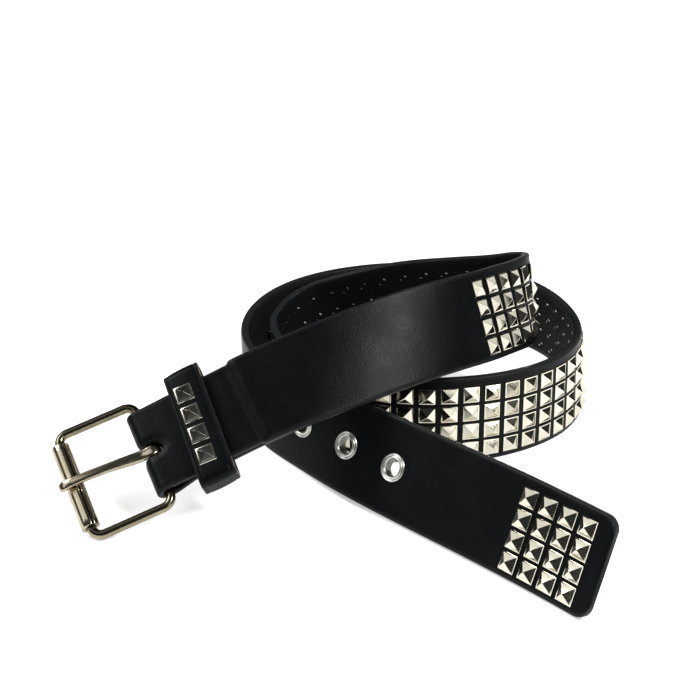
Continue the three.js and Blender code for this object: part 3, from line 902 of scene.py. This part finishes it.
def tilted(place, chance, most):
    """The place turned by a small chance tilt, as hand-set studs are."""
    lean = math.radians(chance.uniform(-most, most))
    pitch = math.radians(chance.uniform(-most, most))
    spin = math.radians(chance.uniform(-most, most) * SPIN_SHARE)
    turn = Matrix.Rotation(lean, 3, place.along) @ Matrix.Rotation(pitch, 3, place.across)
    turn = turn @ Matrix.Rotation(spin, 3, place.out)
    return Place(place.centre, turn @ place.along, turn @ place.across, turn @ place.out)


def make_stud_field():
    """All the studs of the long field as one piece, and their legs as another."""
    chance = random.Random(FIELD_SEED)
    skin = Skin()
    legs = Skin()
    for column in range(FIELD_COLUMNS):
        place = path_place(FIELD_START + column * STUD_PITCH + STUD_SIZE / 2)
        for row in range(ROWS):
            across = row_middle(row)
            front = place.moved(across=across, out=STRAP_THICKNESS / 2 - FIELD_SINK)
            add_stud(skin, tilted(front, chance, FIELD_TILT))
            add_legs(legs, place.moved(across=across, out=-STRAP_THICKNESS / 2), chance)
    field = skin.build("stud_field", nickel, sharp=STUD_CREASE)
    declare(field, "belt", "nickel")
    clenched = legs.build("stud_legs", silver, sharp=STUD_CREASE)
    declare(clenched, "belt", "nickel")


def make_tip_studs():
    chance = random.Random(TIP_SEED)
    for column in range(TIP_COLUMNS):
        strap_place = path_place(tip_studs_start + column * STUD_PITCH + STUD_SIZE / 2)
        for row in range(ROWS):
            skin = Skin()
            place = strap_place.moved(across=row_middle(row), out=STRAP_THICKNESS / 2 + TIP_STUD_LIFT)
            add_stud(skin, tilted(place, chance, SINGLE_TILT))
            number = column * ROWS + row + 1
            stud = skin.build(f"tip_stud_plated_{number}", nickel, sharp=STUD_CREASE)
            declare(stud, "belt", "nickel", f"tip_stud_{number}")


make_stud_field()
make_tip_studs()


# Eyelets

EYELET_SIDES = 56
EYELET_CREASE = 60

# An eyelet's section, in millimetres: radius, and height above the strap's middle
EYELET_PROFILE = (
    (3.5, -1.8),
    (3.5, 1.7),
    (3.5, 2.0),
    (3.56, 2.32),
    (3.78, 2.66),
    (4.1, 2.8),
    (4.45, 2.7),
    (4.68, 2.4),
    (4.78, 2.24),
    (4.92, 2.26),
    (5.12, 2.44),
    (5.34, 2.44),
    (5.56, 2.22),
    (5.7, 1.88),
    (5.66, 1.74),
    (4.2, 1.74),
    (4.2, -1.74),
    (5.45, -1.74),
    (5.66, -1.92),
    (5.4, -2.2),
    (4.6, -2.36),
    (3.8, -2.24),
)

# The section's first points, which make the bore's wall, darkened with painted shade
EYELET_SHADED_BORE_POINTS = 2


def make_eyelet(number, s):
    """A barrel rolled outwards at both ends, with painted shade darkening it inside."""
    skin = Skin()
    profile = [(r * MM, h * MM) for r, h in EYELET_PROFILE]
    rings = []
    for ring in turned(profile, EYELET_SIDES, path_place(s)):
        bore_shade = [float(k < EYELET_SHADED_BORE_POINTS) for k in range(len(ring))]
        rings.append([skin.point(p, border=inside) for p, inside in zip(ring, bore_shade)])
    skin.loft(rings, closed=True)
    eyelet = skin.build(f"eyelet_rolled_{number}", silver, sharp=EYELET_CREASE)
    declare(eyelet, "belt", "nickel", f"eyelet_{number}")


for eyelet_number, eyelet_s in enumerate(eyelet_places, 1):
    make_eyelet(eyelet_number, eyelet_s)


# Keeper

# Spans between the points of the band's outline and across its face
KEEPER_CORNER_STEPS = 8
KEEPER_LONG_SPANS = 30
KEEPER_SHORT_SPANS = 4
KEEPER_FACE_SPANS = 40
KEEPER_CREASE = 60

# The pressed groove along each edge, the face's slight crown, and the worn rim. Places, margin and
# rim are shares of the band's width.
GROOVE_AT = 0.115
GROOVE_DEPTH = 0.16 * MM
GROOVE_WIDTH = 0.45 * MM
CROWN_HEIGHT = 0.4 * MM
CROWN_SINK = 0.1 * MM
FACE_MARGIN = 0.045
WORN_SHARE = 0.07


def keeper_outline(grow):
    """Rounded rectangle across the strap, the band's inner face grown by a distance."""
    radius = KEEPER_CORNER - KEEPER_WALL + grow
    x = KEEPER_HEIGHT / 2 - KEEPER_WALL + grow - radius
    front = keeper_front + grow - radius
    back = keeper_back - grow + radius
    outline = []
    corners = ((x, front, 0), (-x, front, 90), (-x, back, 180), (x, back, 270))
    for number, (cx, cy, start) in enumerate(corners):
        outline += arc(cx, cy, radius, start, start + 90, KEEPER_CORNER_STEPS)
        here = outline[-1]
        next_x, next_y, next_start = corners[(number + 1) % len(corners)]
        there = next(arc(next_x, next_y, radius, next_start, next_start, 1))
        spans = KEEPER_LONG_SPANS if number in (0, 2) else KEEPER_SHORT_SPANS
        for k in range(1, spans):
            outline.append((mix(here[0], there[0], k / spans), mix(here[1], there[1], k / spans)))
    return outline


def keeper_band():
    """Points round the band's own section: share of its width, growth from its inner face, back."""
    face = []
    for k in range(KEEPER_FACE_SPANS + 1):
        share = mix(FACE_MARGIN, 1 - FACE_MARGIN, k / KEEPER_FACE_SPANS)
        from_groove = min(abs(share - GROOVE_AT), abs(share - 1 + GROOVE_AT)) * KEEPER_WIDTH
        pressed = GROOVE_DEPTH * hump(from_groove, GROOVE_WIDTH)
        crown = CROWN_HEIGHT * math.sin(math.pi * share)
        face.append((share, KEEPER_WALL - pressed + crown - CROWN_SINK, 0.0))
    edge = [
        (0.0, 0.25 * MM),
        (0.0, KEEPER_WALL * 0.5),
        (0.0, KEEPER_WALL * 0.72),
        (0.012, KEEPER_WALL * 0.9),
    ]
    far = [(1 - share, grow, 0.0) for share, grow in reversed(edge)]
    inner = [(share, 0.0, 1.0) for share in (0.97, 0.75, 0.5, 0.25, 0.03)]
    near = [(share, grow, 0.0) for share, grow in edge]
    return face + far + inner + near


def make_keeper():
    """The band, askew on the strap. Its far cut edge is bare where it bends over the strap's edges."""
    skin = Skin()
    band = keeper_band()
    inner = keeper_outline(0)
    outer = keeper_outline(KEEPER_WALL)
    rings = []
    for (x0, y0), (x1, y1) in zip(inner, outer):
        ring = []
        for share, grow, back in band:
            part = grow / KEEPER_WALL
            across = mix(x0, x1, part)
            out = mix(y0, y1, part)
            s = mix(keeper_edges[0], keeper_edges[1], share) + across * keeper_slant
            edge = clamp(1 - min(share, 1 - share) / WORN_SHARE)
            point = path_place(s).at(0, across + KEEPER_SHIFT, out)
            ring.append(skin.point(point, rim=edge, back=back))
        rings.append(ring)
    bare = range(KEEPER_FACE_SPANS + 1, KEEPER_FACE_SPANS + 4)
    ends = SKIVED_WIDTH / 2
    for number, ring in enumerate(rings):
        following = rings[(number + 1) % len(rings)]
        bends = abs(outer[number][0]) > ends and outer[number][1] > 0
        for k in range(len(ring)):
            k2 = (k + 1) % len(ring)
            shade = 1 if bends and k in bare else 0
            skin.face(ring[k], ring[k2], following[k2], following[k], shade=shade)
    keeper = skin.build("keeper_band", leather, raw_leather, sharp=KEEPER_CREASE)
    declare(keeper, "belt", "leather", "keeper")


def make_keeper_studs():
    chance = random.Random(KEEPER_SEED)
    askew = math.radians(-KEEPER_SKEW)
    for row in range(ROWS):
        across = ((ROWS - 1) / 2 - row) * KEEPER_ROW_PITCH
        out = keeper_front + KEEPER_WALL + KEEPER_STUD_LIFT
        place = path_place(KEEPER_AT + KEEPER_STUD_AT + across * keeper_slant)
        place = place.moved(across=across + KEEPER_SHIFT, out=out)
        turn = Matrix.Rotation(askew, 3, place.out)
        place = Place(place.centre, turn @ place.along, turn @ place.across, place.out)
        skin = Skin()
        add_stud(skin, tilted(place, chance, SINGLE_TILT))
        stud = skin.build(f"keeper_stud_dark_{row + 1}", gunmetal, sharp=STUD_CREASE)
        declare(stud, "belt", "gunmetal", f"keeper_stud_{row + 1}")


make_keeper()
make_keeper_studs()


# Buckle

# Points round the wire and round the prong's bar, and steps of a frame corner and of the prong's curl
WIRE_SIDES = 28
FRAME_CORNER_STEPS = 14
PRONG_SIDES = 20
PRONG_CURL_STEPS = 26

# How much painted shade darkens the wire at most, and the rise of its face from which and to which
# that grows
TOP_SHADE = 0.85
TOP_SHADE_FROM = 0.4
TOP_SHADE_TO = 0.8

# The roller's seam, in degrees round it, its depth and its rounded ends
SEAM_AT = 118
SEAM_HALF = 5
SEAM_DEPTH = 0.6 * MM
ROLLER_LIP = 0.35 * MM
ROLLER_CREASE = 40

# The prong's curl, in degrees round the heel bar, how narrow it gets behind the bar as a share of
# its width, and how round its section is, as a power
CURL_START = -50
CURL_END = -270
CURL_NARROWED = 0.6
PRONG_ROUNDNESS = 0.6
PRONG_CREASE = 50

frame_turn = math.radians(FRAME_TILT)
buckle = Place(
    heel_bar.centre,
    heel_bar.along * -math.cos(frame_turn) + heel_bar.out * math.sin(frame_turn),
    -heel_bar.across,
    heel_bar.out * math.cos(frame_turn) + heel_bar.along * math.sin(frame_turn),
)


def make_frame():
    """A closed ring of round wire, with painted shade that darkens it where it faces up."""
    skin = Skin()
    y = FRAME_HEIGHT / 2 - FRAME_CORNER
    x = FRAME_LENGTH - FRAME_CORNER
    corners = ((x, y, 0), (FRAME_CORNER, y, 90), (FRAME_CORNER, -y, 180), (x, -y, 270))
    outline = []
    for cx, cy, start in corners:
        outline += arc(cx, cy, FRAME_CORNER, start, start + 90, FRAME_CORNER_STEPS)
    centres = [buckle.at(px, py, 0) for px, py in outline]
    rings = []
    for i, centre in enumerate(centres):
        tangent = (centres[(i + 1) % len(centres)] - centres[i - 1]).normalized()
        side = tangent.cross(buckle.out)
        ring = []
        for k in range(WIRE_SIDES):
            turn = 2 * math.pi * k / WIRE_SIDES
            normal = side * math.cos(turn) + buckle.out * math.sin(turn)
            point = centre + normal * (WIRE / 2)
            # Painted shade, growing as the wire's face turns up
            tarnish = TOP_SHADE * smooth(normal.z, TOP_SHADE_FROM, TOP_SHADE_TO)
            ring.append(skin.point(point, tarnish=tarnish))
        rings.append(ring)
    skin.loft(rings, closed=True)
    wire = skin.build("frame_wire", dark_brass)
    declare(wire, "buckle", "antique_metal", "buckle_frame")


def make_roller():
    """A tube rolled from sheet, with rounded ends and its seam up, a little towards the heel bar."""
    skin = Skin()
    inner = WIRE / 2 + PIVOT_CLEARANCE
    outer = ROLLER_DIAMETER / 2
    half = ROLLER_LENGTH / 2
    rounding = [(half - ROLLER_LIP, 0.0), (half - 0.1 * MM, 0.12 * MM), (half, ROLLER_LIP)]
    lengths = [(-y, drop) for y, drop in reversed(rounding)]
    lengths += [(half * k / 6, 0.0) for k in range(-5, 6)]
    lengths += rounding
    edges = [(SEAM_HALF, 0.45), (SEAM_HALF + 1.5, 0.12), (SEAM_HALF + 5, 0.0)]
    turns = [(SEAM_AT + a, sunk) for a, sunk in edges]
    turns += [(SEAM_AT + a, 0.0) for a in range(20, 341, 8)]
    turns += [(SEAM_AT + 360 - a, sunk) for a, sunk in reversed(edges)]

    def add_point(radius, degrees, y):
        turn = math.radians(degrees)
        x = FRAME_LENGTH + radius * math.cos(turn)
        return skin.point(buckle.at(x, y, radius * math.sin(turn)))

    rings = []
    for y, drop in lengths:
        ring = [add_point(outer - drop - sunk * SEAM_DEPTH, degrees, y) for degrees, sunk in turns]
        ring += [add_point(inner, degrees, y) for degrees, _ in reversed(turns)]
        rings.append(ring)
    skin.loft(rings)
    roller = skin.build("roller_tube_plated", brass, sharp=ROLLER_CREASE)
    declare(roller, "roller_tube", "antique_metal", "roller")


# The prong's bar beyond its ring, in millimetres: distance from the heel bar, height of its middle
# above the frame's plane, width and thickness.
PRONG_SECTIONS = (
    (1.6, 2.55, 4.6, 1.7),
    (3.2, 2.0, 4.6, 2.5),
    (5.2, 1.85, 4.5, 2.95),
    (8, 2.28, 4.4, 3.0),
    (13.5, 3.3, 3.9, 2.8),
    (19.3, 4.23, 3.5, 2.6),
    (26, 4.8, 3.6, 2.5),
    (32.2, 5.12, 3.86, 2.4),
    (34.4, 4.95, 4.0, 2.25),
    (35.8, 4.45, 4.0, 2.1),
    (37, 3.8, 3.6, 1.8),
    (37.6, 3.4, 2.7, 1.3),
    (37.8, 3.25, 1.6, 0.8),
)


def make_prong():
    """A bar curled round the heel bar, which runs to the roller and rests on it."""
    skin = Skin()
    loop = WIRE / 2 + PIVOT_CLEARANCE + PRONG_RING_WALL / 2
    stations = []
    for x, z in arc(0, 0, loop, CURL_START, CURL_END, PRONG_CURL_STEPS):
        width = mix(PRONG_WIDTH, PRONG_WIDTH * CURL_NARROWED, clamp(-x / loop))
        stations.append((x, z, width, PRONG_RING_WALL))
    stations += [tuple(value * MM for value in section) for section in PRONG_SECTIONS]
    rings = []
    for i, (x, z, width, thickness) in enumerate(stations):
        before = stations[max(i - 1, 0)]
        after = stations[min(i + 1, len(stations) - 1)]
        run = Vector((after[0] - before[0], after[1] - before[1])).normalized()
        ring = []
        for k in range(PRONG_SIDES):
            turn = 2 * math.pi * k / PRONG_SIDES
            cosine = math.cos(turn)
            sine = math.sin(turn)
            side = math.copysign(abs(cosine) ** PRONG_ROUNDNESS, cosine) * width / 2
            rise = math.copysign(abs(sine) ** PRONG_ROUNDNESS, sine) * thickness / 2
            ring.append(skin.point(buckle.at(x - run.y * rise, side, z + run.x * rise)))
        rings.append(ring)
    skin.loft(rings)
    prong = skin.build("prong_bar", brass, sharp=PRONG_CREASE)
    declare(prong, "prong_pin", "antique_metal", "prong")


make_frame()
make_roller()
make_prong()


# Table and light

TABLE_REACH = 14.0
TABLE_SPANS = 8

# The point that the lights face
LIGHT_AIM = (0, 0, 0.03)

# An even light over the whole table: the side it comes from, its spread in degrees and its strength
KEY_PLACE = (-0.7, 0.1, 0.75)
KEY_SPREAD = 26
KEY_STRENGTH = 2.3

# Softboxes, each where some faces of the metal or the leather mirror it: place, size and power
SOFTBOXES = {
    "softbox_left": ((-0.89, -0.35, 0.72), (0.26, 0.7), 0.85),
    "softbox_top_left": ((-0.43, -0.34, 0.92), (0.25, 0.25), 0.3),
    "softbox_right": ((0.7, -0.47, 0.93), (0.28, 0.28), 14.0),
    "softbox_right_front": ((0.54, -0.72, 0.87), (0.44, 0.3), 0.75),
    "softbox_front": ((0.62, -0.9, 0.5), (0.3, 0.36), 0.55),
    "softbox_right_back": ((0.64, 0.91, 0.62), (0.5, 0.6), 1.0),
    "softbox_back": ((-0.43, 0.2, 0.86), (0.24, 0.2), 0.17),
}

WORLD_COLOUR = (0.92, 0.96, 1, 1)
WORLD_STRENGTH = 0.04


def make_table():
    skin = Skin()
    steps = [mix(-TABLE_REACH, TABLE_REACH, k / TABLE_SPANS) for k in range(TABLE_SPANS + 1)]
    rows = [[skin.point(Vector((x, y, 0))) for x in steps] for y in steps]
    for first, second in zip(rows, rows[1:]):
        skin.join(second, first, closed=False)
    table = skin.build("table", table_finish)


def add_lamp(name, light, place):
    """Puts a light at a place, facing the belt."""
    lamp = bpy.data.objects.new(name, light)
    lamp.location = place
    lamp.rotation_mode = "QUATERNION"
    lamp.rotation_quaternion = (Vector(place) - Vector(LIGHT_AIM)).to_track_quat("Z", "Y")
    bpy.context.scene.collection.objects.link(lamp)


def add_softbox(name, place, size, power):
    light = bpy.data.lights.new(name, "AREA")
    light.shape = "RECTANGLE"
    light.size, light.size_y = size
    light.energy = power
    add_lamp(name, light, place)


def add_key_light(name):
    light = bpy.data.lights.new(name, "SUN")
    light.energy = KEY_STRENGTH
    light.angle = math.radians(KEY_SPREAD)
    add_lamp(name, light, KEY_PLACE)


def make_world():
    world = bpy.data.worlds.new("studio")
    bpy.context.scene.world = world
    world.use_nodes = True
    background = world.node_tree.nodes["Background"]
    background.inputs["Color"].default_value = WORLD_COLOUR
    background.inputs["Strength"].default_value = WORLD_STRENGTH


make_table()
make_world()
add_key_light("key_light")
for softbox_name, (softbox_place, softbox_size, softbox_power) in SOFTBOXES.items():
    add_softbox(softbox_name, softbox_place, softbox_size, softbox_power)
bpy.context.scene.view_settings.view_transform = "Standard"
